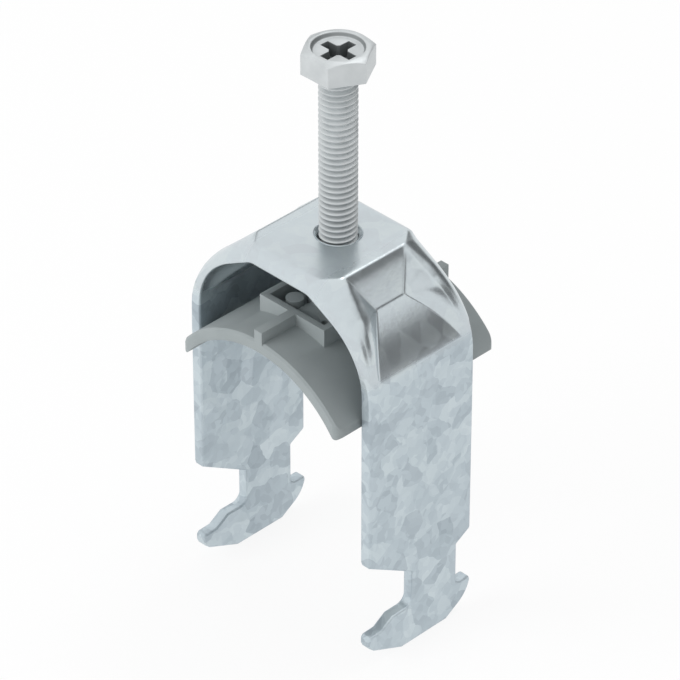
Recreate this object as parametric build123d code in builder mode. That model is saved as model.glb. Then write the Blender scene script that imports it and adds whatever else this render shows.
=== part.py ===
from build123d import *
from math import cos, radians, sin, sqrt, tan
import os

# Cable clamp: a pressed sheet bracket, a grey pressure trough and one clamping screw.
# Millimetres. X runs across the two legs, -Y is the front, Z=0 is the flat of the feet.
# X=0, Y=0 is the axis of the clamping screw.

# Sheet and strip
sheet_t = 2.0            # sheet thickness
strip_front = 12.65      # front edge of the strip, in front of the screw axis
strip_back = 9.65        # back edge of the strip, behind the screw axis
strip_mid = (strip_back - strip_front) / 2
strip_w = strip_front + strip_back
leg_out = 19.4           # outer face of a leg
leg_in = leg_out - sheet_t
roof_z = 66.1            # upper face of the roof
roof_under = roof_z - sheet_t
roof_half = 6.6          # half length of the flat roof
shoulder_deg = 28.0      # fall of the shoulder ribs
bend_out_r = 9.5         # outside radius from shoulder to leg
bend_in_r = bend_out_r - sheet_t
roof_bend_r = 5.0        # soft bend from roof to shoulder

# Leg outline, seen from the side (Y, Z)
shoulder_low = 19.3      # lower front corner of the broad part of a leg
slope_end_y, slope_end_z = -3.9, 14.1
neck_front, neck_back = -3.2, 6.65
broad_back_z = 15.42     # lower back corner of the broad part of a leg
neck_back_z = 13.75
ledge_z = 7.25           # rail seat of the long front hook
ledge_end_y = -7.43
nose_y, nose_z = -9.88, 5.72
tip_top_z, tip_low_z = 5.65, 3.75
toe_y, toe_z = -11.5, 2.7
sole_front, sole_back = -5.4, 4.6
heel_y, heel_z = 7.6, 1.8
back_hook_z = 5.8        # rail seat of the short back hook
neck_front_r = 1.5
neck_back_r = 0.9
blank_r = 0.5            # small roundings of the blank

# Pressed shoulder pockets, from the end of the flat roof out to the face of the leg:
# upper edge, valley and lower edge (X, Z, half width)
edge_run = 2.7           # upper edge, past the end of the flat roof
valley_back = 1.95       # valley, short of the middle between the two edges
valley_deep = 5.9        # valley, below the roof
foot_deep = 13.2         # lower edge, below the roof
edge_x, edge_z, edge_half = roof_half + edge_run, roof_z, 6.13
foot_x, foot_z, foot_half = leg_out, roof_z - foot_deep, 9.13
valley_x, valley_z, valley_half = (edge_x + foot_x) / 2 - valley_back, roof_z - valley_deep, 2.93
crest = ((valley_x, roof_z - 2.9, 7.2), ((valley_x + foot_x) / 2 - 0.6, roof_z - 4.9, 8.1),
         (foot_x - 1.2, roof_z - 8.1, 8.7))
crest_reach = 3.0        # height of the cutting bodies over the pocket chord
plateau_half = 10.5      # half width of the roof where the plateau leaves the flat
plateau_run = 1.2        # side slope of the plateau, per millimetre of height
ridge_r = 0.8            # rounding of the upper pocket edge
valley_r = 0.4           # rounding of the valley

# Thread in the roof
screw_r = 3.0            # M6
bore_gap = 0.05          # running clearance of the screw
bore_r = screw_r + bore_gap
collar_r = 4.6           # drawn collar under the roof
collar_drop = 2.2
lead_in = 0.5            # countersunk mouth of the thread

# Clamping screw
exposed = 28.8           # underside of the head above the roof
screw_len = 40.0
head_low = roof_z + exposed
head_h = 4.0
head_af = 10.0
head_cham_deg = 30.0
head_flat_r = 4.75       # flat top inside the chamfer
dish_r = 4.15            # dished recess in the head
dish_deep = 0.7
dish_floor_r = 3.75
cross_arm = 3.0          # cross recess, reach of an arm
cross_w = 1.6
cross_deep = 2.3
cross_core_r = 1.4
cross_taper = 6.0
screw_end = head_low - screw_len
end_cham = 0.7

# Pressure trough
side_gap = 0.3           # play between trough and legs
trough_half_x = leg_in - side_gap
trough_half_y = 17.0
seat_over = 0.5          # the screw ends above the crown, inside the boss
crown_z = screw_end - seat_over
saddle_out_r = 21.4
trough_t = 1.9
saddle_in_r = saddle_out_r - trough_t
saddle_z = crown_z - saddle_out_r
trough_corner_r = 1.6
trough_end_r = 0.7       # rounded ends of the saddle
end_over = 0.4           # the saddle runs on a little before its ends are rounded
soft_r = 0.35            # softened upper edges
box_half_x, box_half_y = 6.9, 9.9
box_wall = 1.1
box_top = crown_z + 1.95
box_floor = crown_z - 0.8
rib_t = 1.6
back_rib_top = crown_z + 1.0
seat_gap = 0.05          # end play of the screw in its seat
seat_z = screw_end - seat_gap
boss_r = 4.9
boss_top = crown_z + 2.5
deck_z = crown_z + 0.6
deck_x0 = -1.4
post_x, post_y, post_r = -2.9, -6.4, 1.4
post_top = crown_z + 1.6
pin_x, pin_y, pin_r = 4.1, -7.0, 0.6
pin_deep = 0.8

far = 80.0               # reach of cutting bodies past the part

# Rims of the strip: width, fall of the rolled outer edge, fall of the underside
roof_rim = (1.7, 45.0, 22.0)
shoulder_rim = (3.0, 32.0, 14.0)
bend_rim = (2.2, 28.0, 14.0)
leg_top_z = roof_z - (leg_out - roof_half) * tan(radians(shoulder_deg))
bend_z = leg_top_z - bend_out_r * tan(radians(45 - shoulder_deg / 2))


def arch(half, top, wide, r_roof, r_bend):
    # Filled arch seen from the front: flat roof, sloping shoulders, upright legs.
    fall = (wide - half) * tan(radians(shoulder_deg))
    with BuildSketch(Plane.XZ.offset(-strip_back)) as sk:
        with BuildLine():
            Polyline((-wide, 0), (-wide, top - fall), (-half, top), (half, top),
                     (wide, top - fall), (wide, 0), close=True)
        make_face()
        fillet(sk.vertices().filter_by(lambda v: v.Y > top - 1), radius=r_roof)
        fillet(sk.vertices().filter_by(lambda v: 1 < v.Y < top - fall + 1), radius=r_bend)
    return sk.sketch


# Side slopes of the raised plateau, drawn at two stations along X
def station(x, top, half):
    with BuildSketch(Plane.YZ.offset(x)) as sk:
        with Locations((strip_mid, 0)):
            Polygon((-half, top), (half, top), (half + plateau_run * plateau_drop, top - plateau_drop),
                    (-half - plateau_run * plateau_drop, top - plateau_drop), align=None)
    return sk.sketch


plateau_drop = 4.0
edge_slope = (plateau_half - edge_half) / (edge_x - roof_half)
over_x = 2.2             # the plateau body starts inside the roof and runs past the edge

with BuildPart() as plateau_body:
    loft([station(roof_half - over_x, roof_z, plateau_half + over_x * edge_slope),
          station(edge_x + over_x, roof_z, edge_half - over_x * edge_slope)])
    split(bisect_by=Plane.XZ.offset(-strip_back), keep=Keep.TOP)
    split(bisect_by=Plane.XZ.offset(strip_front), keep=Keep.BOTTOM)
    mirror(about=Plane.YZ)
plateau = plateau_body.part

# Pocket cutter: the chord plane runs from the upper to the lower pocket edge
chord = sqrt((foot_x - edge_x) ** 2 + (edge_z - foot_z) ** 2)
along = Vector(foot_x - edge_x, 0, foot_z - edge_z) / chord
out = Vector(edge_z - foot_z, 0, foot_x - edge_x) / chord
upper = Vector(edge_x, strip_mid, edge_z)
valley = Vector(valley_x, strip_mid, valley_z)
foot = Vector(foot_x, strip_mid, foot_z)
chord_plane = Plane(origin=upper + out * crest_reach, x_dir=along, z_dir=out)


def aim(x, z, half):
    # A wall point seen from the valley corner, carried out to the cutter plane.
    start = valley + Vector(0, valley_half, 0)
    ray = Vector(x, strip_mid + half, z) - start
    k = (crest_reach - (start - upper).dot(out)) / ray.dot(out)
    p = chord_plane.to_local_coords(start + ray * k)
    return (p.X, p.Y)


rim = [aim(edge_x, edge_z, edge_half)] + [aim(*p) for p in crest] + [aim(foot_x, foot_z, foot_half)]
with BuildPart() as pocket_side:
    with BuildSketch(chord_plane) as mouth:
        with BuildLine():
            Spline(*rim)
            Polyline(rim[-1], (rim[-1][0], 0), (rim[0][0], 0), rim[0])
        make_face()
    loft([mouth.sketch, Vertex(*(valley + Vector(0, valley_half, 0)))])

with BuildPart() as pocket_mid:
    over = valley + (upper - valley) * 3
    below = valley + (foot - valley) * 2
    with BuildSketch(Plane.XZ.offset(-strip_mid)):
        Polygon((over.X, over.Z), (valley.X, valley.Z), (below.X, below.Z), (far, below.Z),
                (far, over.Z), align=None)
    extrude(amount=valley_half, both=True)

strip_plane = Plane.XZ.offset(-strip_mid)
side = pocket_side.part
cutters = [pocket_mid.part, side, side.mirror(strip_plane)]
cutters = cutters + [c.mirror(Plane.YZ) for c in cutters]

def rim_tools(skin, depth):
    # Flat cutting bodies along both rims of the roof, the shoulders and the bends.
    # Skin 1 takes the fall of the outer face, skin 2 that of the underside.
    mid_deg = (90 + shoulder_deg) / 2
    bend_x = leg_out - bend_out_r * (1 - sin(radians(mid_deg)))
    places = [(0, 0, roof_z, roof_rim), (shoulder_deg, roof_half, roof_z, shoulder_rim),
              (mid_deg, bend_x, bend_z + bend_out_r * cos(radians(mid_deg)), bend_rim)]
    tools = []
    for turn, x, z, rim in places:
        tangent = Vector(cos(radians(turn)), 0, -sin(radians(turn)))
        up = Vector(sin(radians(turn)), 0, cos(radians(turn)))
        fall = radians(rim[skin])
        for edge, way in ((-strip_front, -1), (strip_back, 1)):
            facing = up * cos(fall) + Vector(0, way * sin(fall), 0)
            start = Vector(x, edge - way * rim[0], z) - facing * depth
            with BuildPart() as tool:
                with BuildSketch(Plane(origin=start, x_dir=tangent, z_dir=facing)):
                    Rectangle(2 * far, 2 * far)
                extrude(amount=far)
            tools.append(tool.part)
    return tools + [t.mirror(Plane.YZ) for t in tools[2:]]


# Outer and inner skin of the sheet, both filled
with BuildPart() as outer_skin:
    extrude(arch(roof_half, roof_z, leg_out, roof_bend_r, bend_out_r), amount=strip_w)
    add(plateau)
    for c in cutters:
        add(c, mode=Mode.SUBTRACT)

    ridge = outer_skin.edges().filter_by(lambda e: e.center().Z > roof_z - 0.01
                                         and abs(e.center().X) > (roof_half + edge_x) / 2 - 0.3)
    fillet(ridge, radius=ridge_r)
    valleys = outer_skin.edges().filter_by(lambda e: abs(abs(e.center().X) - valley_x) < 0.01
                                           and abs(e.center().Y - strip_mid) < 0.01)
    fillet(valleys, radius=valley_r)
    for tool in rim_tools(1, 0):
        add(tool, mode=Mode.SUBTRACT)

with BuildPart() as inner_skin:
    extrude(arch(roof_half - sheet_t * tan(radians(shoulder_deg / 2)), roof_under, leg_in,
                 roof_bend_r - sheet_t, bend_in_r), amount=strip_w)
    add(plateau.moved(Location((0, 0, -sheet_t))))
    for tool in rim_tools(2, sheet_t):
        add(tool, mode=Mode.SUBTRACT)
    for c in cutters:
        in_dir = -1 if c.center().X > 0 else 1
        add(c.moved(Location((in_dir * sheet_t * out.X, 0, -sheet_t * out.Z))), mode=Mode.SUBTRACT)

# Side outline of the two legs with their rail hooks
lean = (shoulder_low - slope_end_z) / (strip_front + slope_end_y)
slope_foot = slope_end_z - lean * (neck_front - slope_end_y)
with BuildSketch(Plane.YZ) as side_view:
    with BuildLine():
        front = Polyline((sole_back, 0), (sole_front, 0), (toe_y, toe_z), (-strip_front, tip_low_z),
                         (-strip_front, tip_top_z), (nose_y, nose_z), (ledge_end_y, ledge_z),
                         (neck_front, ledge_z), (neck_front, slope_foot),
                         (-strip_front, shoulder_low), (-strip_front, far), (strip_back, far),
                         (strip_back, broad_back_z), (neck_back, neck_back_z),
                         (neck_back, back_hook_z), (strip_back, back_hook_z))
        Line((sole_back, 0), (heel_y, heel_z))
        TangentArc((heel_y, heel_z), (strip_back, back_hook_z),
                   tangent=(heel_y - sole_back, heel_z))
    make_face()
    inner = side_view.vertices().filter_by(lambda v: abs(v.Y - ledge_z) < 0.1 and v.X > neck_front - 0.1)
    fillet(inner, radius=neck_front_r)
    inner = side_view.vertices().filter_by(lambda v: abs(v.Y - back_hook_z) < 0.1 and v.X < neck_back + 0.1
                                           and v.X > 0)
    fillet(inner, radius=neck_back_r)
    small = side_view.vertices().filter_by(lambda v: v.X < -strip_front + 0.1 and v.Y < shoulder_low + 1)
    fillet(small, radius=blank_r)

with BuildPart() as clamp_bracket:
    add(outer_skin.part)
    add(inner_skin.part, mode=Mode.SUBTRACT)
    extrude(side_view.sketch, amount=leg_out + 1, both=True, mode=Mode.INTERSECT)
    # Drawn collar with the thread bore and its countersunk mouth
    with BuildSketch(Plane.XY.offset(roof_under - collar_drop)):
        Circle(collar_r)
    extrude(amount=collar_drop + sheet_t / 2)
    with BuildSketch(Plane.XY.offset(roof_z)):
        Circle(bore_r)
    extrude(amount=-sheet_t - collar_drop, mode=Mode.SUBTRACT)
    with BuildSketch(Plane.XY.offset(roof_z)):
        Circle(bore_r + lead_in)
    with BuildSketch(Plane.XY.offset(roof_z - lead_in)):
        Circle(bore_r)
    loft(mode=Mode.SUBTRACT)

# Clamping screw, drawn over the thread crests
with BuildPart() as clamping_screw:
    with BuildSketch(Plane.XY.offset(screw_end)):
        Circle(screw_r)
    extrude(amount=screw_len)
    chamfer(clamping_screw.faces().sort_by(Axis.Z)[0].edges(), length=end_cham)
    with BuildSketch(Plane.XY.offset(head_low)):
        RegularPolygon(head_af / 2, 6, major_radius=False)
    extrude(amount=head_h)
    # 30 degree chamfer of the corners
    cone_fall = (head_af - head_flat_r) * tan(radians(head_cham_deg))
    with BuildSketch(Plane.XZ):
        with BuildLine():
            Polyline((head_flat_r, head_low + head_h), (head_af, head_low + head_h),
                     (head_af, head_low + head_h - cone_fall), close=True)
        make_face()
    revolve(axis=Axis.Z, mode=Mode.SUBTRACT)
    # Dished top with the cross recess
    with BuildSketch(Plane.XY.offset(head_low + head_h)):
        Circle(dish_r)
    with BuildSketch(Plane.XY.offset(head_low + head_h - dish_deep)):
        Circle(dish_floor_r)
    loft(mode=Mode.SUBTRACT)
    cross_z = head_low + head_h - dish_deep
    with BuildSketch(Plane.XY.offset(cross_z)):
        Rectangle(2 * cross_arm, cross_w)
        Rectangle(cross_w, 2 * cross_arm)
        Circle(cross_core_r)
    extrude(amount=-cross_deep, taper=cross_taper, mode=Mode.SUBTRACT)

# Pressure trough
with BuildPart() as pressure_trough:
    with BuildSketch(Plane.XZ) as saddle:
        # The saddle ends squarely where its outer face comes near the legs.
        end_x = trough_half_x + end_over
        end_z = sqrt(saddle_out_r ** 2 - end_x ** 2)
        reach = far / end_x
        with Locations((0, saddle_z)):
            Circle(saddle_out_r)
            Circle(saddle_in_r, mode=Mode.SUBTRACT)
            Polygon((0, 0), (reach * end_x, reach * end_z), (-reach * end_x, reach * end_z),
                    align=None, mode=Mode.INTERSECT)
        fillet(saddle.vertices(), radius=trough_end_r)
    extrude(amount=trough_half_y + 1, both=True)
    with BuildSketch(Plane.XY.offset(saddle_z)):
        RectangleRounded(2 * trough_half_x, 2 * trough_half_y, trough_corner_r)
    extrude(amount=saddle_out_r + 1, mode=Mode.INTERSECT)
    chamfer(pressure_trough.faces().sort_by(Axis.Z)[-1].edges(), length=soft_r)
    # Socket box on the crown with its ribs
    with BuildSketch(Plane.XY.offset(box_floor)) as walls:
        Rectangle(2 * box_half_x, 2 * box_half_y)
        Rectangle(2 * (box_half_x - box_wall), 2 * (box_half_y - box_wall), mode=Mode.SUBTRACT)
        with Locations((0, -(trough_half_y + box_half_y - box_wall) / 2)):
            Rectangle(rib_t, trough_half_y - box_half_y + box_wall)
    extrude(amount=box_top - box_floor)
    foot_z_box = saddle_z + sqrt(saddle_out_r ** 2 - box_half_x ** 2) - trough_t / 2
    with BuildSketch(Plane.XY.offset(foot_z_box)):
        Rectangle(2 * box_half_x, 2 * box_half_y)
        Rectangle(2 * (box_half_x - box_wall), 2 * (box_half_y - box_wall), mode=Mode.SUBTRACT)
    extrude(amount=box_floor - foot_z_box)
    with BuildSketch(Plane.XY.offset(foot_z_box)):
        with Locations((box_half_x - rib_t / 2, (trough_half_y + box_half_y - box_wall) / 2),
                       (-box_half_x + rib_t / 2, (trough_half_y + box_half_y - box_wall) / 2)):
            Rectangle(rib_t, trough_half_y - box_half_y + box_wall)
    extrude(amount=back_rib_top - foot_z_box)
    # Boss with the seat of the screw
    with BuildSketch(Plane.XY.offset(box_floor)):
        Circle(boss_r)
    extrude(amount=boss_top - box_floor)
    # Deck beside the boss, post and small hole
    with BuildSketch(Plane.XY.offset(box_floor)):
        with Locations(((deck_x0 + box_half_x - box_wall) / 2, 0)):
            Rectangle(box_half_x - box_wall - deck_x0, 2 * (box_half_y - box_wall))
    extrude(amount=deck_z - box_floor)
    with BuildSketch(Plane.XY.offset(box_floor)):
        with Locations((post_x, post_y), (post_x, -post_y)):
            Circle(post_r)
    extrude(amount=post_top - box_floor)
    with BuildSketch(Plane.XY.offset(deck_z)):
        with Locations((pin_x, pin_y)):
            Circle(pin_r)
    extrude(amount=-pin_deep, mode=Mode.SUBTRACT)
    with BuildSketch(Plane.XY.offset(seat_z)):
        Circle(bore_r)
    extrude(amount=boss_top + 1 - seat_z, mode=Mode.SUBTRACT)

os.makedirs("parts", exist_ok=True)
clamp_bracket.part.label = "clamp_bracket"
clamping_screw.part.label = "clamping_screw"
pressure_trough.part.label = "pressure_trough"
export_step(clamp_bracket.part, "parts/clamp_bracket.step")
export_step(clamping_screw.part, "parts/clamping_screw.step")
export_step(pressure_trough.part, "parts/pressure_trough.step")
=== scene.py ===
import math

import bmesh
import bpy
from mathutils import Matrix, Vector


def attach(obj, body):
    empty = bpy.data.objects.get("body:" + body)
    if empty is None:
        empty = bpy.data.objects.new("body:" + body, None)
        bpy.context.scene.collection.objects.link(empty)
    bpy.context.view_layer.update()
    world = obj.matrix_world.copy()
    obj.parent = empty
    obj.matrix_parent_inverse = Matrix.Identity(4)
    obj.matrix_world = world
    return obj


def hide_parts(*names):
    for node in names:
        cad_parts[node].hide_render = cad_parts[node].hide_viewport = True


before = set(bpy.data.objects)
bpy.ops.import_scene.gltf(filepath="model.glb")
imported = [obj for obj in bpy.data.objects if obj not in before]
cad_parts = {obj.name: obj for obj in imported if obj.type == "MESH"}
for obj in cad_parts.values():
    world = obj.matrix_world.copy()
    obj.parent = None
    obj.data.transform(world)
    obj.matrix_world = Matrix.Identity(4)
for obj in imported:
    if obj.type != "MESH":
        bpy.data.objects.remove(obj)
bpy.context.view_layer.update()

# %% [markdown]
# A cable clamp stands on its rail hooks: a tall arch of galvanised sheet, a long
# clamping screw through its roof, and a grey plastic trough that the screw presses
# down on a cable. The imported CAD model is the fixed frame. Everything below is in
# metres, in the same place as the CAD model, so first come a few helpers and the
# sizes that the pieces share.

MM = 0.001

# %% Sizes of the sheet, in millimetres
SHEET = 2.0                              # thickness
STRIP_FRONT, STRIP_BACK = -12.65, 9.65   # front and back rim, along Y
STRIP_MID = (STRIP_FRONT + STRIP_BACK) / 2
STRIP_HALF = (STRIP_BACK - STRIP_FRONT) / 2
LEG_OUT = 19.4                           # outer face of a leg
ROOF_Z = 66.1                            # top of the roof
ROOF_HALF = 6.6                          # where the roof's line meets the shoulder's
SHOULDER = math.radians(28.0)            # fall of the shoulder
BEND_R = 14.0                            # bend from the shoulder into the leg
ROOF_BEND_R = 5.0                        # bend from the roof into the shoulder
print("strip width:", STRIP_BACK - STRIP_FRONT, "mm")


# %% Helper: turn a bmesh into an object at the origin
def make_piece(name, bm, body, material, smooth_deg=40.0):
    mesh = bpy.data.meshes.new(name)
    bm.to_mesh(mesh)
    bm.free()
    mesh.materials.append(material)
    obj = bpy.data.objects.new(name, mesh)
    bpy.context.scene.collection.objects.link(obj)
    for face in mesh.polygons:
        face.use_smooth = True
    mesh.set_sharp_from_angle(angle=math.radians(smooth_deg))
    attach(obj, body)
    print(name, "has", len(mesh.polygons), "faces")
    return obj


# %% Helper: smooth maximum, the shape of a pressed crease
def smooth_max(a, b, r):
    # Two slopes meet in a rounded crease whose width grows with r.
    h = max(r - abs(a - b), 0.0) / r
    return max(a, b) + h * h * r * 0.25


def smooth_min(a, b, r):
    return -smooth_max(-a, -b, r)


def fade(value, start, end):
    t = min(max((value - start) / (end - start), 0.0), 1.0)
    return t * t * (3 - 2 * t)


print("crease of equal slopes, r 0.4:", round(smooth_max(0, 0, 0.4), 3))

# %% [markdown]
# Materials come first, because each piece is given one as it is made. All three are
# built from nodes, so a few helpers make the nodes that come up again and again.
# Every pattern reads Object coordinates: it stays on the piece when the piece moves,
# and needs no UV map.


# %% Helper: start a node material
def new_material(name):
    mat = bpy.data.materials.new(name)
    mat.use_nodes = True
    tree = mat.node_tree
    bsdf = tree.nodes["Principled BSDF"]
    return mat, tree, bsdf


def node(tree, kind, **values):
    made = tree.nodes.new(kind)
    for key, value in values.items():
        if hasattr(made, key):
            setattr(made, key, value)
        else:
            made.inputs[key.replace("_", " ")].default_value = value
    return made


def ramp(tree, source, stops):
    made = tree.nodes.new("ShaderNodeValToRGB")
    elements = made.color_ramp.elements
    while len(elements) < len(stops):
        elements.new(0.5)
    for element, (place, colour) in zip(elements, stops):
        element.position = place
        element.color = (*colour, 1.0) if len(colour) == 3 else colour
    tree.links.new(source, made.inputs["Fac"])
    return made


def band(tree, source, start, end):
    # 0 before start and 1 past end, both in millimetres; start may be the larger one.
    made = node(tree, "ShaderNodeMapRange", interpolation_type="SMOOTHSTEP")
    made.inputs["From Min"].default_value = start * MM
    made.inputs["From Max"].default_value = end * MM
    tree.links.new(source, made.inputs["Value"])
    return made.outputs["Result"]


def joined(tree, a, b, how="MULTIPLY"):
    made = node(tree, "ShaderNodeMath", operation=how)
    for value, socket in zip((a, b), made.inputs):
        if isinstance(value, float):
            socket.default_value = value
        else:
            tree.links.new(value, socket)
    return made.outputs["Value"]


def blended(tree, factor, a, b):
    # a where the factor is 0, b where it is 1; b may be a plain colour.
    made = node(tree, "ShaderNodeMix", data_type="RGBA")
    tree.links.new(factor, made.inputs["Factor"])
    tree.links.new(a, made.inputs["A"])
    if isinstance(b, tuple):
        made.inputs["B"].default_value = (*b, 1.0)
    else:
        tree.links.new(b, made.inputs["B"])
    return made.outputs["Result"]


def grey(v):
    return (v, v, v)


print("helpers for materials ready")

# %% [markdown]
# Galvanised sheet has a spangle: zinc crystals a few millimetres wide, each with its
# own tone. A painted image could show them, but Voronoi cells give such crystals at
# any distance. Their coordinates are bent by noise, so that the crystals are not
# straight-sided, and smaller cells break up the large ones. On the pressed shoulders
# the tool has rubbed the zinc, so it is smoother there and the spangle fades.

# %% Galvanised sheet
CRYSTALS_PER_M = 300.0
zinc_sheet, tree, bsdf = new_material("galvanised_sheet")
link = tree.links.new
coord = node(tree, "ShaderNodeTexCoord")
bend = node(tree, "ShaderNodeTexNoise", Scale=260.0, Detail=2.0)
link(coord.outputs["Object"], bend.inputs["Vector"])
shift = node(tree, "ShaderNodeVectorMath", operation="MULTIPLY_ADD")
shift.inputs[1].default_value = (0.0022, 0.0022, 0.0022)
link(bend.outputs["Color"], shift.inputs[0])
link(coord.outputs["Object"], shift.inputs[2])
flakes = node(tree, "ShaderNodeTexVoronoi", Scale=CRYSTALS_PER_M)
link(shift.outputs["Vector"], flakes.inputs["Vector"])
fine = node(tree, "ShaderNodeTexVoronoi", Scale=780.0)
link(shift.outputs["Vector"], fine.inputs["Vector"])
tone_big = node(tree, "ShaderNodeSeparateColor")
link(flakes.outputs["Color"], tone_big.inputs["Color"])
tone_fine = node(tree, "ShaderNodeSeparateColor")
link(fine.outputs["Color"], tone_fine.inputs["Color"])
blend = node(tree, "ShaderNodeMix", data_type="FLOAT")
blend.inputs["Factor"].default_value = 0.35
link(tone_big.outputs["Red"], blend.inputs["A"])
link(tone_fine.outputs["Green"], blend.inputs["B"])
# The zinc is rubbed smooth on the shoulders, above the straight legs and beside the roof.
place = node(tree, "ShaderNodeSeparateXYZ")
link(coord.outputs["Object"], place.inputs["Vector"])
high = band(tree, place.outputs["Z"], 51.5, 54.0)
flank = joined(tree, place.outputs["X"], 0.0, "ABSOLUTE")
rubbed = joined(tree, high, band(tree, flank, 6.2, 9.2))
leg_tone = ramp(tree, blend.outputs["Result"],
                [(0.10, (0.43, 0.495, 0.54)), (0.50, (0.53, 0.605, 0.65)),
                 (0.90, (0.625, 0.70, 0.735))])
top_tone = ramp(tree, blend.outputs["Result"],
                [(0.10, (0.56, 0.61, 0.64)), (0.50, (0.58, 0.64, 0.67)),
                 (0.90, (0.61, 0.67, 0.69))])
tone = blended(tree, high, leg_tone.outputs["Color"], top_tone.outputs["Color"])
link(tone, bsdf.inputs["Base Color"])
leg_rough = ramp(tree, tone_big.outputs["Blue"], [(0.0, grey(0.40)), (1.0, grey(0.58))])
top_rough = ramp(tree, tone_big.outputs["Blue"], [(0.0, grey(0.20)), (1.0, grey(0.25))])
roof_rough = blended(tree, high, leg_rough.outputs["Color"], grey(0.30))
rough = blended(tree, rubbed, roof_rough, top_rough.outputs["Color"])
link(rough, bsdf.inputs["Roughness"])
grain = node(tree, "ShaderNodeTexNoise", Scale=1400.0, Detail=3.0)
link(coord.outputs["Object"], grain.inputs["Vector"])
bump = node(tree, "ShaderNodeBump", Strength=0.06, Distance=0.0002)
link(grain.outputs["Fac"], bump.inputs["Height"])
link(bump.outputs["Normal"], bsdf.inputs["Normal"])
bsdf.inputs["Metallic"].default_value = 0.85
print("galvanised sheet: crystals about", round(1 / CRYSTALS_PER_M / MM, 1), "mm wide")

# %% [markdown]
# The screw is plated with a thin, matt coat of zinc, so it is smoother and plainer
# than the sheet. Little light and little zinc reach the recess in the head and the
# grooves of the thread, so painted shade darkens them: the cross, the wall of the dish
# and the grooves, more towards the screw's lower end. The shade could be painted by
# hand, but on a turned part two measures find it: the height along the axis and the
# distance from it.

# %% Zinc-plated screw
zinc_screw, tree, bsdf = new_material("zinc_plated_screw")
link = tree.links.new
coord = node(tree, "ShaderNodeTexCoord")
haze = node(tree, "ShaderNodeTexNoise", Scale=420.0, Detail=4.0)
link(coord.outputs["Object"], haze.inputs["Vector"])
tone = ramp(tree, haze.outputs["Fac"], [(0.3, (0.57, 0.60, 0.61)), (0.7, (0.66, 0.69, 0.70))])
place = node(tree, "ShaderNodeSeparateXYZ")
link(coord.outputs["Object"], place.inputs["Vector"])
level_out = node(tree, "ShaderNodeVectorMath", operation="MULTIPLY")
level_out.inputs[1].default_value = (1.0, 1.0, 0.0)
link(coord.outputs["Object"], level_out.inputs[0])
radius = node(tree, "ShaderNodeVectorMath", operation="LENGTH")
link(level_out.outputs["Vector"], radius.inputs[0])
height, reach = place.outputs["Z"], radius.outputs["Value"]
# Painted shade: the cross recess and the dish wall are mixed towards dark grey
in_head = joined(tree, band(tree, height, 95.0, 95.3), band(tree, reach, 4.40, 4.20))
cross = band(tree, height, 98.15, 98.02)
dish_wall = joined(tree, band(tree, height, 98.22, 98.40), band(tree, height, 98.86, 98.70))
recess_shade = joined(tree, in_head, joined(tree, cross, joined(tree, dish_wall, 0.80), "MAXIMUM"))
# Painted shade in the thread grooves, stronger towards the lower end of the screw
groove_shade = joined(tree, band(tree, height, 88.0, 68.0), band(tree, reach, 2.94, 2.60))
painted_shade = joined(tree, recess_shade, joined(tree, groove_shade, 0.36), "MAXIMUM")
link(blended(tree, painted_shade, tone.outputs["Color"], (0.20, 0.215, 0.22)), bsdf.inputs["Base Color"])
rough = ramp(tree, haze.outputs["Fac"], [(0.3, grey(0.44)), (0.7, grey(0.54))])
link(rough.outputs["Color"], bsdf.inputs["Roughness"])
bsdf.inputs["Metallic"].default_value = 0.8
print("zinc-plated screw ready")

# %% [markdown]
# The trough is moulded in a mid grey plastic. Its skin is not polished: it has faint
# clouds of tone, from the way the plastic flowed, and a very fine grain left by the
# mould. One noise serves for each, a large one for the tone and a fine one for bumps.

# %% Grey moulded plastic
grey_plastic, tree, bsdf = new_material("grey_plastic")
link = tree.links.new
coord = node(tree, "ShaderNodeTexCoord")
cloud = node(tree, "ShaderNodeTexNoise", Scale=160.0, Detail=3.0)
link(coord.outputs["Object"], cloud.inputs["Vector"])
tone = ramp(tree, cloud.outputs["Fac"],
            [(0.3, (0.232, 0.262, 0.267)), (0.7, (0.263, 0.294, 0.300))])
link(tone.outputs["Color"], bsdf.inputs["Base Color"])
skin = node(tree, "ShaderNodeTexNoise", Scale=2600.0, Detail=2.0)
link(coord.outputs["Object"], skin.inputs["Vector"])
bump = node(tree, "ShaderNodeBump", Strength=0.10, Distance=0.0001)
link(skin.outputs["Fac"], bump.inputs["Height"])
link(bump.outputs["Normal"], bsdf.inputs["Normal"])
bsdf.inputs["Roughness"].default_value = 0.52
print("grey plastic ready")

# %% [markdown]
# The bracket starts as what it is in the workshop: a flat blank, cut to its
# outline. The blank is a fine grid in two directions, s along the strip and y
# across it, with the hook outlines added as flat faces at both ends and a round
# hole in the middle. It is extruded once, so that it has an outer and an inner
# skin, and then every vertex is sent through one forming step that bends the arch
# and presses the shoulder pockets. Forming by a function presses both skins alike, so
# the sheet stays about two millimetres thick at creases where a Solidify modifier
# would fold over; only the rolled rims get thinner. The first thing it needs is the
# path of the bent strip: roof, shoulder, bend and leg.

# %% Path of the bent strip, seen from the front
half_turn = SHOULDER / 2
roof_flat = ROOF_HALF - ROOF_BEND_R * math.tan(half_turn)
fall = (LEG_OUT - ROOF_HALF) * math.tan(SHOULDER)
bend_turn = math.pi / 2 - SHOULDER
bend_leg = BEND_R * math.tan(bend_turn / 2)
slope_run = ((LEG_OUT - ROOF_HALF) / math.cos(SHOULDER)
             - ROOF_BEND_R * math.tan(half_turn) - bend_leg)
leg_top = ROOF_Z - fall - bend_leg
runs = [roof_flat, ROOF_BEND_R * SHOULDER, slope_run, BEND_R * bend_turn]
marks = [sum(runs[:i + 1]) for i in range(4)]
print("path marks in mm:", [round(m, 2) for m in marks], "leg starts at Z", round(leg_top, 2))


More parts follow.
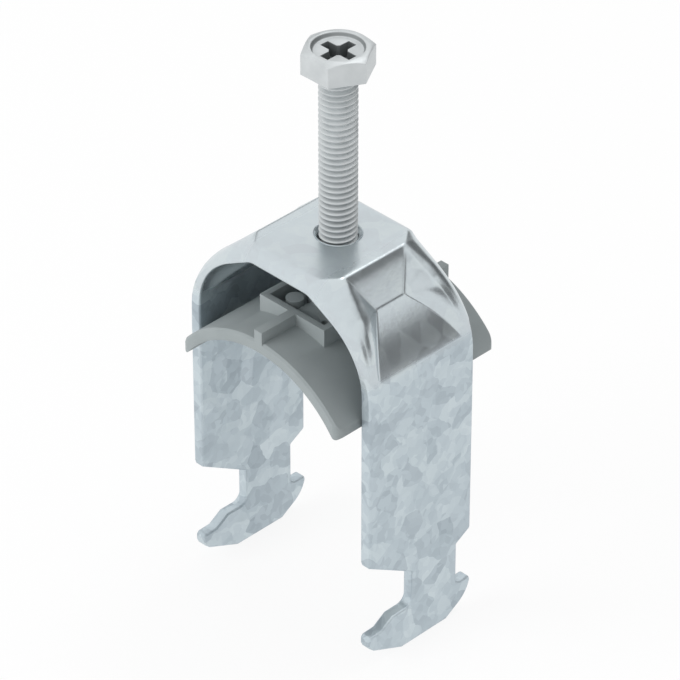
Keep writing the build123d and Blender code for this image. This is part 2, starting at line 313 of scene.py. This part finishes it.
def path(s):
    # Outer point and outward normal at the distance s from the roof's middle.
    if s <= marks[0]:
        return s, ROOF_Z, 0.0, 1.0
    if s <= marks[1]:
        a = (s - marks[0]) / ROOF_BEND_R
        return (roof_flat + ROOF_BEND_R * math.sin(a), ROOF_Z - ROOF_BEND_R * (1 - math.cos(a)),
                math.sin(a), math.cos(a))
    if s <= marks[2]:
        x0 = roof_flat + ROOF_BEND_R * math.sin(SHOULDER)
        z0 = ROOF_Z - ROOF_BEND_R * (1 - math.cos(SHOULDER))
        d = s - marks[1]
        return (x0 + d * math.cos(SHOULDER), z0 - d * math.sin(SHOULDER),
                math.sin(SHOULDER), math.cos(SHOULDER))
    cx, cz = LEG_OUT - BEND_R, leg_top
    if s <= marks[3]:
        a = SHOULDER + (s - marks[2]) / BEND_R
        return cx + BEND_R * math.sin(a), cz + BEND_R * math.cos(a), math.sin(a), math.cos(a)
    return LEG_OUT, leg_top - (s - marks[3]), 1.0, 0.0


def leg_s(z):
    return marks[3] + leg_top - z


# %% [markdown]
# A punch presses a pocket into each shoulder, which stiffens the bend. Its upper wall
# is steep, its floor runs out to the leg, and two side walls close it. It could be cut
# with a boolean, but the metal is pushed in, not cut away. So the pocket is a depth
# under its chord, the straight line from its upper to its lower edge, and the forming
# step lowers the sheet to it. a is the distance along the chord, h the height over it.

# %% Pocket sizes: upper edge, valley and lower edge (X, Z, half width)
EDGE = (9.3, ROOF_Z, 6.13)
VALLEY = (12.4, 60.2, 2.93)
FOOT = (19.3, 52.5, 9.13)
FLOOR_BULGE, WALL_BULGE = 0.50, 0.05     # how far floor and upper wall swell
# Crest of a side wall, from the upper to the lower edge (X, Z, half width)
CREST = [(12.4, 63.3, 7.0), (15.3, 60.95, 7.9), (17.7, 57.6, 8.6)]
chord_len = math.hypot(FOOT[0] - EDGE[0], EDGE[1] - FOOT[1])
along = ((FOOT[0] - EDGE[0]) / chord_len, (FOOT[1] - EDGE[1]) / chord_len)
out = (-along[1], along[0])


def on_chord(x, z):
    # Distance along the pocket's chord, from its upper edge, and height over it.
    dx, dz = x - EDGE[0], z - EDGE[1]
    return dx * along[0] + dz * along[1], dx * out[0] + dz * out[1]


valley_a, valley_h = on_chord(VALLEY[0], VALLEY[1])
print("the valley lies", round(-valley_h, 2), "mm under the chord of the pocket")

# %% Side walls of a pocket: straight lines from the valley corner to the rim
rim_rays = []
for x, z, half in [FOOT] + CREST[::-1] + [EDGE]:
    a, h = on_chord(x, z)
    reach = math.hypot(a - valley_a, half - VALLEY[2])
    rim_rays.append((math.atan2(half - VALLEY[2], a - valley_a), (h - valley_h) / reach))


def wall_slope(turn):
    # Slope of the wall in one direction, a smooth curve through the rim points.
    for (t0, g0), (t1, g1) in zip(rim_rays, rim_rays[1:]):
        if turn <= t1:
            k = (turn - t0) / (t1 - t0)
            before = rim_rays[max(rim_rays.index((t0, g0)) - 1, 0)]
            after = rim_rays[min(rim_rays.index((t1, g1)) + 1, len(rim_rays) - 1)]
            m0 = (g1 - before[1]) / (t1 - before[0]) * (t1 - t0)
            m1 = (after[1] - g0) / (after[0] - t0) * (t1 - t0)
            return ((2 * k ** 3 - 3 * k ** 2 + 1) * g0 + (k ** 3 - 2 * k ** 2 + k) * m0
                    + (3 * k ** 2 - 2 * k ** 3) * g1 + (k ** 3 - k ** 2) * m1)
    return rim_rays[-1][1]


print("wall rays in degrees:", [round(math.degrees(t)) for t, g in rim_rays])


# %% Depth of a pocket over its chord
def pocket(a, y):
    dy = abs(y - STRIP_MID) - VALLEY[2]
    if a > valley_a:
        t = (a - valley_a) / (chord_len - valley_a)
        floor = valley_h * (1 - t) + FLOOR_BULGE * 4 * t * max(1 - t, 0.0)
    else:
        t = (valley_a - a) / valley_a
        floor = valley_h * (1 - t) + WALL_BULGE * 4 * t * max(1 - t, 0.0)
    turn = math.atan2(dy, a - valley_a)
    if dy > 0 and rim_rays[0][0] < turn < rim_rays[-1][0]:
        side = valley_h + math.hypot(dy, a - valley_a) * wall_slope(turn)
        return max(floor, side)
    return floor


CREASE_R = 0.17                          # small radii of the punch


def soft_pocket(a, y):
    # The depth is averaged over five close spots, which rounds the creases.
    r = CREASE_R
    spots = ((r, 0), (-r, 0), (0, r), (0, -r), (0, 0))
    return sum(pocket(a + da, y + dy) for da, dy in spots) / len(spots)


print("pocket at its middle:", round(pocket(chord_len / 2, STRIP_MID), 2), "mm")


# %% [markdown]
# Beside the pockets the strip stays higher and forms ribs. The flat roof runs on to
# the pocket's upper edge and dies away along the crests, and from the crests the
# ribs fall to the rims, which the press has drawn down and rolled over. Both are
# small heights, added to the sheet as it is formed.

# %% Crest line: where the flat roof or a rib begins to fall towards the rim
ROOF_CREST = [(6.0, 9.45), (7.0, 9.3), (EDGE[0], EDGE[2])]   # X and half width on the roof
crest_line = [((x - EDGE[0]) * along[0], half) for x, half in ROOF_CREST]
crest_line += [(on_chord(x, z)[0], half) for x, z, half in CREST]
crest_line += [(chord_len + 1.0, FOOT[2])]


def crest_half(a):
    if a <= crest_line[0][0]:
        return crest_line[0][1]
    for (a0, w0), (a1, w1) in zip(crest_line, crest_line[1:]):
        if a <= a1:
            return w0 + (w1 - w0) * (a - a0) / (a1 - a0)
    return crest_line[-1][1]


EVEN_SHARE = 0.45    # of the fall from crest to rim; the rest lies close to the rim


def toward_rim(a, y):
    # 0 on the crest, 1 at the rim: an even slope, steeper where the rim is rolled.
    half = crest_half(a)
    t = (abs(y - STRIP_MID) - half) / (STRIP_HALF - half)
    t = min(max(t, 0.0), 1.0)
    return EVEN_SHARE * t + (1 - EVEN_SHARE) * t ** 4


def flat_height(a, depth):
    # Height of the flat roof's plane over the chord, carried on past the roof.
    return (a * out[0] - depth) / out[1]


# How far the flat roof stands over the shoulder line at the pocket's upper edge
plateau_step = {}
for depth in (0.0, SHEET):
    trial = [on_chord(x - depth * nx, z - depth * nz)
             for x, z, nx, nz in (path(marks[1] + 0.02 * i) for i in range(200))]
    a, h = min(trial, key=lambda p: abs(p[0]))
    plateau_step[depth] = flat_height(a, depth) - h
print("plateau over the shoulder:", {d: round(v, 2) for d, v in plateau_step.items()})
PLATEAU_RUN, PLATEAU_CURVE = 6.4, 1.1    # how far it dies away, and how hollow


def plateau_lift(a, h, depth):
    if a <= 0.0:
        return max(flat_height(a, depth) - h, 0.0)
    return plateau_step[depth] * max(1.0 - a / PLATEAU_RUN, 0.0) ** PLATEAU_CURVE


# %% Rims of the strip: they droop, and their outer edge is rolled
RIM_ROLL, RIM_DROOP = 1.85, 0.50         # drop of the outer and of the inner skin


def rim_drop(s, depth):
    full = RIM_ROLL if depth == 0 else RIM_DROOP
    return full * (1 - fade(s, marks[2] + 1.0, marks[3] + 3.0))


print("rim drop at the roof:", rim_drop(0.0, 0.0), "outside,", rim_drop(0.0, SHEET), "inside")

# %% Forming: from the flat blank to the bent and pressed sheet
ROUND_EDGE, ROUND_CREST, ROUND_FOOT = 0.75, 1.15, 0.30   # rounding round the pocket


def crest_round(a):
    # The tool leaves round crests, and a tighter edge at the foot of the pocket.
    below_edge = fade(a, 1.0, 4.0)
    at_foot = fade(a, chord_len - 4.0, chord_len - 0.5)
    return (ROUND_EDGE + (ROUND_CREST - ROUND_EDGE) * below_edge
            - (ROUND_CREST - ROUND_FOOT) * at_foot)


def formed(s, y, depth):
    # s and y on the blank, and the depth under the outer skin, give a point in metres.
    flip = -1.0 if s < 0 else 1.0
    s = abs(s)
    x, z, nx, nz = path(s)
    x, z = x - depth * nx, z - depth * nz
    drop = 0.0
    if s < marks[3] + 4.0:    # the leg below stays flat
        a, h = on_chord(x, z)
        rim = toward_rim(a, y)
        height = h + plateau_lift(a, h, depth) * (1 - rim)
        height = smooth_min(height, soft_pocket(a, y) - depth, crest_round(a))
        x, z = x + out[0] * (height - h), z + out[1] * (height - h)
        drop = rim_drop(s, depth) * rim
    return Vector((flip * (x - nx * drop) * MM, y * MM, (z - nz * drop) * MM))


print("valley of the pocket:", [round(v / MM, 2) for v in formed(marks[2] - 1.5, STRIP_MID, 0.0)])

# %% [markdown]
# Each leg ends in a neck with a hook on both sides, which grips behind the lips of a
# rail. These outlines are stamped with the blank, so they are drawn flat as one face
# each: straight lines between measured corners, with a few round corners.

# %% Outline of a leg end (Y, Z), from the front round the hooks to the back
HOOK_LINE = [(-12.65, 19.85), (-12.5, 19.3), (-3.9, 14.1), (-3.2, 13.66), (-3.2, 8.75)]
HOOK_TIP = [(-4.7, 7.25), (-7.43, 7.25), (-9.88, 5.72), (-12.2, 5.66), (-12.65, 5.2),
            (-12.65, 4.1), (-12.4, 3.55), (-11.5, 2.7), (-5.4, 0.0), (4.6, 0.0), (7.6, 1.8)]
BACK_LINE = [(9.65, 5.8), (7.55, 5.8), (6.65, 6.7), (6.65, 13.75), (9.65, 15.42)]


def arc_points(p, q, centre, steps):
    # Points on a round corner between p and q, without p itself.
    a0 = math.atan2(p[1] - centre[1], p[0] - centre[0])
    a1 = math.atan2(q[1] - centre[1], q[0] - centre[0])
    turn = (a1 - a0 + math.pi) % (2 * math.pi) - math.pi
    r = math.hypot(p[0] - centre[0], p[1] - centre[1])
    angles = [a0 + turn * i / steps for i in range(1, steps)]
    return [(centre[0] + r * math.cos(a), centre[1] + r * math.sin(a)) for a in angles]


outline = (HOOK_LINE + arc_points((-3.2, 8.75), (-4.7, 7.25), (-4.7, 8.75), 6) + HOOK_TIP
           + arc_points((7.6, 1.8), (9.65, 5.8), (4.6, 6.25), 7)
           + BACK_LINE[:2] + arc_points((7.55, 5.8), (6.65, 6.7), (7.55, 6.7), 5) + BACK_LINE[2:])
print("leg outline has", len(outline), "corners")

# %% The flat blank: a grid of s and y
ROOF_ROWS, PRESSED_ROWS, COLUMNS = 8, 108, 90
PRESSED_LOW, PLAIN_ROWS, HOOKS_START = 50.0, (46.0, 40.0, 32.0), 24.0   # Z on the leg
EDGE_STEP = 0.4                          # first and last column, beside the rims
s_join = leg_s(HOOKS_START)
pressed_run = leg_s(PRESSED_LOW) - marks[0]
half_rows = [marks[0] * i / ROOF_ROWS for i in range(ROOF_ROWS + 1)]
half_rows += [marks[0] + pressed_run * i / PRESSED_ROWS for i in range(1, PRESSED_ROWS + 1)]
half_rows += [leg_s(z) for z in PLAIN_ROWS] + [s_join]
rows = [-s for s in reversed(half_rows[1:])] + half_rows
bm = bmesh.new()
bmesh.ops.create_grid(bm, x_segments=len(rows) - 1, y_segments=COLUMNS, size=0.5)
column_step = (STRIP_BACK - STRIP_FRONT - 2 * EDGE_STEP) / (COLUMNS - 2)
for v in bm.verts:
    i = round((v.co.x + 0.5) * (len(rows) - 1))
    j = round((v.co.y + 0.5) * COLUMNS)
    v.co.x = rows[i]
    v.co.y = (STRIP_FRONT if j == 0 else STRIP_BACK if j == COLUMNS
              else STRIP_FRONT + EDGE_STEP + (j - 1) * column_step)
print("blank grid:", len(rows), "by", COLUMNS + 1, "vertices")

# %% Hook ends of the blank
for side in (-1, 1):
    end = sorted((v for v in bm.verts if abs(v.co.x - side * s_join) < 1e-4),
                 key=lambda v: v.co.y)
    tip = [bm.verts.new((side * leg_s(z), y, 0.0)) for y, z in outline]
    ring = end + list(reversed(tip))
    bm.faces.new(ring if side > 0 else list(reversed(ring)))
bmesh.ops.recalc_face_normals(bm, faces=bm.faces)
if sum(f.normal.z for f in bm.faces) < 0:
    bmesh.ops.reverse_faces(bm, faces=bm.faces)
print("hook faces added")

# %% Round hole in the roof
HOLE_R, RING = 3.55, 1.4                 # the hole, and the room for new faces round it
NEAR_HOLE = 8.0                          # nearer than any rim of the strip
inside = [f for f in bm.faces
          if len(f.verts) == 4 and max(v.co.xy.length for v in f.verts) < HOLE_R + RING]
bmesh.ops.delete(bm, geom=inside, context="FACES")
rim = [e for e in bm.edges
       if e.is_boundary and all(v.co.length < NEAR_HOLE for v in e.verts)]
circle = bmesh.ops.create_circle(bm, segments=48, radius=HOLE_R)["verts"]
circle_edges = [e for e in bm.edges if e.verts[0] in circle and e.verts[1] in circle]
filled = bmesh.ops.triangle_fill(bm, edges=rim + circle_edges, use_beauty=True,
                                 normal=(0, 0, 1))
ring_faces = [g for g in filled["geom"] if isinstance(g, bmesh.types.BMFace)]
print("hole ring has", len(ring_faces), "faces")

# %% Two skins, then forming
grown = bmesh.ops.extrude_face_region(bm, geom=list(bm.faces))
outer = {g for g in grown["geom"] if isinstance(g, bmesh.types.BMVert)}
for v in bm.verts:
    v.co = formed(v.co.x, v.co.y, 0.0 if v in outer else SHEET)
bmesh.ops.recalc_face_normals(bm, faces=bm.faces)
sheet = make_piece("bracket_sheet", bm, "bracket", zinc_sheet, 38.0)
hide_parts("clamp_bracket")
edge_round = sheet.modifiers.new("edge_round", "BEVEL")
edge_round.width = 0.30 * MM
edge_round.segments = 2
edge_round.limit_method = "ANGLE"
edge_round.angle_limit = math.radians(60)
edge_round.use_clamp_overlap = False

# %% [markdown]
# The thread in the roof is cut in a drawn collar: the punch pulls some metal down,
# so that more turns hold the screw. The collar is a turned shape, so its wall
# section is spun once round the screw's axis.


# %% Helper: spin a wall section round the screw's axis
def spun(section, steps):
    bm = bmesh.new()
    verts = [bm.verts.new((r * MM, 0.0, z * MM)) for r, z in section]
    edges = [bm.edges.new((a, b)) for a, b in zip(verts, verts[1:] + verts[:1])]
    bmesh.ops.spin(bm, geom=verts + edges, cent=(0, 0, 0), axis=(0, 0, 1), angle=2 * math.pi,
                   steps=steps, use_merge=True)
    bmesh.ops.remove_doubles(bm, verts=bm.verts, dist=1e-7)
    bmesh.ops.recalc_face_normals(bm, faces=bm.faces)
    return bm


# %% Drawn collar with the mouth of the thread
COLLAR_DROP, COLLAR_R = 2.2, 4.6         # below the sheet, and outside
CREST_R, GROOVE_R = 3.10, 3.28           # the thread inside
collar_low = ROOF_Z - SHEET - COLLAR_DROP
section = [(HOLE_R + 0.01, ROOF_Z - 0.01), (CREST_R, ROOF_Z - 0.5)]
z = ROOF_Z - 0.9
while z > collar_low + 0.9:
    section += [(CREST_R, z), (GROOVE_R, z - 0.25), (GROOVE_R, z - 0.45), (CREST_R, z - 0.7)]
    z -= 1.0
section += [(CREST_R, collar_low + 0.25), (CREST_R + 0.25, collar_low),
            (COLLAR_R - 0.25, collar_low), (COLLAR_R, collar_low + 0.25),
            (COLLAR_R, ROOF_Z - SHEET + 0.3), (3.9, ROOF_Z - 0.6)]
make_piece("thread_collar", spun(section, 64), "bracket", zinc_sheet)

# %% [markdown]
# The screw is a standard metric one. Its thread is a helix, so one pitch of the
# tooth section is spun upward: each step of the spin turns it a little and lifts it
# a little, and the turns close on each other. The head is taken from the CAD
# solid, which has the exact hexagon, chamfer and cross recess, and its edges are
# softened.

# %% Thread of the screw
HEAD_LOW, SCREW_END = 94.9, 54.9         # underside of the head, and the far end (Z)
PITCH = 1.0
STEPS_A_TURN = 36
# One tooth: radius, and height as a share of the pitch
TOOTH = [(2.42, 0.0), (2.42, 0.12), (2.96, 0.43), (3.0, 0.47),
         (3.0, 0.60), (2.96, 0.64), (2.42, 0.95), (2.42, 1.0)]
turns = int((HEAD_LOW - SCREW_END - 1.6) / PITCH)
bm = bmesh.new()
verts = [bm.verts.new((r * MM, 0.0, (SCREW_END + 0.8 + h * PITCH) * MM)) for r, h in TOOTH]
edges = [bm.edges.new(pair) for pair in zip(verts, verts[1:])]
bmesh.ops.spin(bm, geom=verts + edges, cent=(0, 0, 0), axis=(0, 0, 1),
               dvec=(0, 0, PITCH / STEPS_A_TURN * MM), angle=2 * math.pi * turns,
               steps=STEPS_A_TURN * turns)
bmesh.ops.remove_doubles(bm, verts=bm.verts, dist=2e-6)
heights = [v.co.z / MM for v in bm.verts]
print("thread runs from", round(min(heights), 2), "to", round(max(heights), 2), "mm,",
      turns, "turns")

# %% Core and ends of the screw
CORE_R = 2.44                            # just over the bottom of the grooves
core = [(0.0, SCREW_END), (2.15, SCREW_END), (CORE_R, SCREW_END + 0.35),
        (CORE_R, HEAD_LOW - 0.9), (2.75, HEAD_LOW - 0.25), (3.0, HEAD_LOW + 0.05),
        (0.0, HEAD_LOW + 0.05)]
verts = [bm.verts.new((r * MM, 0.0, z * MM)) for r, z in core]
edges = [bm.edges.new(pair) for pair in zip(verts, verts[1:])]
bmesh.ops.spin(bm, geom=verts + edges, cent=(0, 0, 0), axis=(0, 0, 1), angle=2 * math.pi,
               steps=48, use_merge=True)
bmesh.ops.remove_doubles(bm, verts=bm.verts, dist=1e-7)
bmesh.ops.recalc_face_normals(bm, faces=bm.faces)
make_piece("screw_thread", bm, "screw", zinc_screw, 50.0)


# %% Helper: a merged copy of a CAD node, with softened edges
def softened(node_name, width, min_deg, cut=None):
    # Edges sharper than min_deg get a round of the width; cut keeps what lies above it.
    bm = bmesh.new()
    bm.from_mesh(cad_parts[node_name].data)
    bmesh.ops.remove_doubles(bm, verts=bm.verts, dist=1e-6)
    if cut is not None:
        geom = list(bm.verts) + list(bm.edges) + list(bm.faces)
        cutting = bmesh.ops.bisect_plane(bm, geom=geom, plane_co=(0, 0, cut),
                                         plane_no=(0, 0, -1), clear_outer=True)
        loose = [e for e in cutting["geom_cut"] if isinstance(e, bmesh.types.BMEdge)]
        bmesh.ops.edgeloop_fill(bm, edges=loose)
    bmesh.ops.dissolve_limit(bm, angle_limit=math.radians(0.6), verts=bm.verts, edges=bm.edges)
    sharp = [e for e in bm.edges if len(e.link_faces) == 2
             and e.calc_face_angle(0.0) > math.radians(min_deg)]
    bmesh.ops.bevel(bm, geom=sharp, offset=width, affect="EDGES", segments=3, profile=0.5,
                    material=-1, clamp_overlap=True)
    return bm


# %% Head of the screw
head_mesh = softened("clamping_screw", 0.12 * MM, 35, cut=(HEAD_LOW + 0.01) * MM)
head = make_piece("screw_head", head_mesh, "screw", zinc_screw, 30.0)
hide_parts("clamping_screw")

# %% [markdown]
# The trough is one moulding: an arched saddle with an open socket box on its
# crown. Moulded edges are never quite sharp, so the CAD solid's edges are rolled a
# little before it gets its plastic.

# %% Pressure trough
trough = make_piece("trough_moulding", softened("pressure_trough", 0.22 * MM, 40), "trough",
                    grey_plastic, 35.0)
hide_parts("pressure_trough")

# %% [markdown]
# The studio is a white floor under a soft overhead light, with a key light from
# the upper left and four dark cards that only reflections see. Bright metal has no
# colour of its own, so what it mirrors draws its shape: without the dark cards the
# pressed shoulders would look flat. The floor glows only for the camera and for
# reflections, so it looks white without throwing more light on the clamp, and the
# rest of it is plain paper that takes the shadow.

# %% Floor
FLOOR_HALF = 3.0
WHITE_SHARE = 0.86                       # how much of the floor's look is plain white
bm = bmesh.new()
bmesh.ops.create_grid(bm, x_segments=1, y_segments=1, size=FLOOR_HALF)
floor_mesh = bpy.data.meshes.new("floor")
bm.to_mesh(floor_mesh)
bm.free()
floor = bpy.data.objects.new("floor", floor_mesh)
bpy.context.scene.collection.objects.link(floor)
floor.location.z = -0.00002
paper, tree, bsdf = new_material("white_paper")
link = tree.links.new
bsdf.inputs["Base Color"].default_value = (0.86, 0.86, 0.86, 1)
bsdf.inputs["Roughness"].default_value = 0.9
rays = node(tree, "ShaderNodeLightPath")
glow = node(tree, "ShaderNodeEmission", Color=(1, 1, 1, 1), Strength=1.0)
seen = joined(tree, rays.outputs["Is Camera Ray"], rays.outputs["Is Glossy Ray"], "MAXIMUM")
mix = node(tree, "ShaderNodeMixShader")
link(joined(tree, seen, WHITE_SHARE), mix.inputs["Fac"])
link(bsdf.outputs["BSDF"], mix.inputs[1])
link(glow.outputs["Emission"], mix.inputs[2])
link(mix.outputs["Shader"], tree.nodes["Material Output"].inputs["Surface"])
floor_mesh.materials.append(paper)
print("floor of", 2 * FLOOR_HALF, "m")

# %% World: white to the camera and in reflections, softer as a light
world = bpy.data.worlds.new("studio")
bpy.context.scene.world = world
world.use_nodes = True
tree = world.node_tree
link = tree.links.new
background = tree.nodes["Background"]
rays = node(tree, "ShaderNodeLightPath")
seen = joined(tree, rays.outputs["Is Camera Ray"], rays.outputs["Is Glossy Ray"], "MAXIMUM")
seen = joined(tree, seen, rays.outputs["Is Transmission Ray"], "MAXIMUM")
level = node(tree, "ShaderNodeMapRange")
level.inputs["To Min"].default_value = 0.80
level.inputs["To Max"].default_value = 1.0
link(seen, level.inputs["Value"])
link(level.outputs["Result"], background.inputs["Strength"])
background.inputs["Color"].default_value = (1.0, 1.0, 1.0, 1.0)
print("world ready")


# %% Lamps and cards
MIDDLE = Vector((0, 0, 0.045))           # the middle of the clamp
DISTANCE = 1.2


def aimed(obj, place):
    obj.location = place
    obj.rotation_mode = "QUATERNION"
    obj.rotation_quaternion = (MIDDLE - Vector(place)).to_track_quat("-Z", "Y")


def lamp(name, place, size, watts):
    data = bpy.data.lights.new(name, "AREA")
    data.shape = "RECTANGLE"
    data.size, data.size_y = size
    data.energy = watts
    obj = bpy.data.objects.new(name, data)
    bpy.context.scene.collection.objects.link(obj)
    aimed(obj, place)
    return obj


def card(name, place, size, shade):
    # A dark flag with soft edges, seen by reflections only.
    bm = bmesh.new()
    bmesh.ops.create_grid(bm, x_segments=1, y_segments=1, size=1.0)
    mesh = bpy.data.meshes.new(name)
    bm.to_mesh(mesh)
    bm.free()
    obj = bpy.data.objects.new(name, mesh)
    bpy.context.scene.collection.objects.link(obj)
    aimed(obj, place)
    obj.scale = (size[0] / 2, size[1] / 2, 1)
    mat, tree, bsdf = new_material(name)
    bsdf.inputs["Base Color"].default_value = (shade, shade, shade, 1)
    bsdf.inputs["Roughness"].default_value = 1.0
    coord = node(tree, "ShaderNodeTexCoord")
    ball = node(tree, "ShaderNodeTexGradient", gradient_type="SPHERICAL")
    tree.links.new(coord.outputs["Object"], ball.inputs["Vector"])
    edge = ramp(tree, ball.outputs["Fac"], [(0.0, grey(0)), (0.55, grey(1))])
    clear = node(tree, "ShaderNodeBsdfTransparent")
    mix = node(tree, "ShaderNodeMixShader")
    tree.links.new(edge.outputs["Color"], mix.inputs["Fac"])
    tree.links.new(clear.outputs["BSDF"], mix.inputs[1])
    tree.links.new(bsdf.outputs["BSDF"], mix.inputs[2])
    tree.links.new(mix.outputs["Shader"], tree.nodes["Material Output"].inputs["Surface"])
    mesh.materials.append(mat)
    obj.visible_camera = False
    obj.visible_diffuse = False
    obj.visible_shadow = False
    return obj


def around(azimuth, elevation):
    # A place at DISTANCE from the clamp's middle, with the angles in degrees.
    a, e = math.radians(azimuth), math.radians(elevation)
    return MIDDLE + DISTANCE * Vector((math.cos(a) * math.cos(e), math.sin(a) * math.cos(e),
                                       math.sin(e)))


lamp("key", (-0.45, -1.0, 0.5), (0.8, 0.8), 9.0).visible_glossy = False
lamp("high_light", around(85, 64), (0.40, 0.26), 1.8)
card("dark_flag_right", around(43, 24), (1.05, 0.74), 0.09)
card("dark_flag_front", around(0, 28), (0.80, 0.55), 0.06)
card("dark_flag_behind", around(84, 20), (1.40, 0.98), 0.05)
card("dark_flag_left", around(150, 18), (0.6, 0.5), 0.2)
print("lamps and cards placed")

# %% [markdown]
# A product photo is often taken from far away with a long lens, so that upright edges
# stay parallel. This one looks along the diagonal of a cube, and the same camera here
# lets the render be laid beside the photo and compared part by part.

# %% Camera at the photograph's viewing angle
CAMERA_AWAY, LENS = 671.5, 232.69        # both in millimetres
camera_data = bpy.data.cameras.new("camera")
camera = bpy.data.objects.new("camera", camera_data)
bpy.context.scene.collection.objects.link(camera)
back = Vector((1, -1, 1)).normalized()
aim = Vector((0.935, -0.577, 47.03)) * MM
camera.location = aim + back * CAMERA_AWAY * MM
camera.rotation_mode = "QUATERNION"
camera.rotation_quaternion = (-back).to_track_quat("-Z", "Y")
camera_data.sensor_width = 36.0
camera_data.lens = LENS
camera_data.clip_start, camera_data.clip_end = 0.01, 20.0
bpy.context.scene.camera = camera
bpy.context.scene.view_settings.view_transform = "Standard"
print("camera at", [round(v, 3) for v in camera.location])
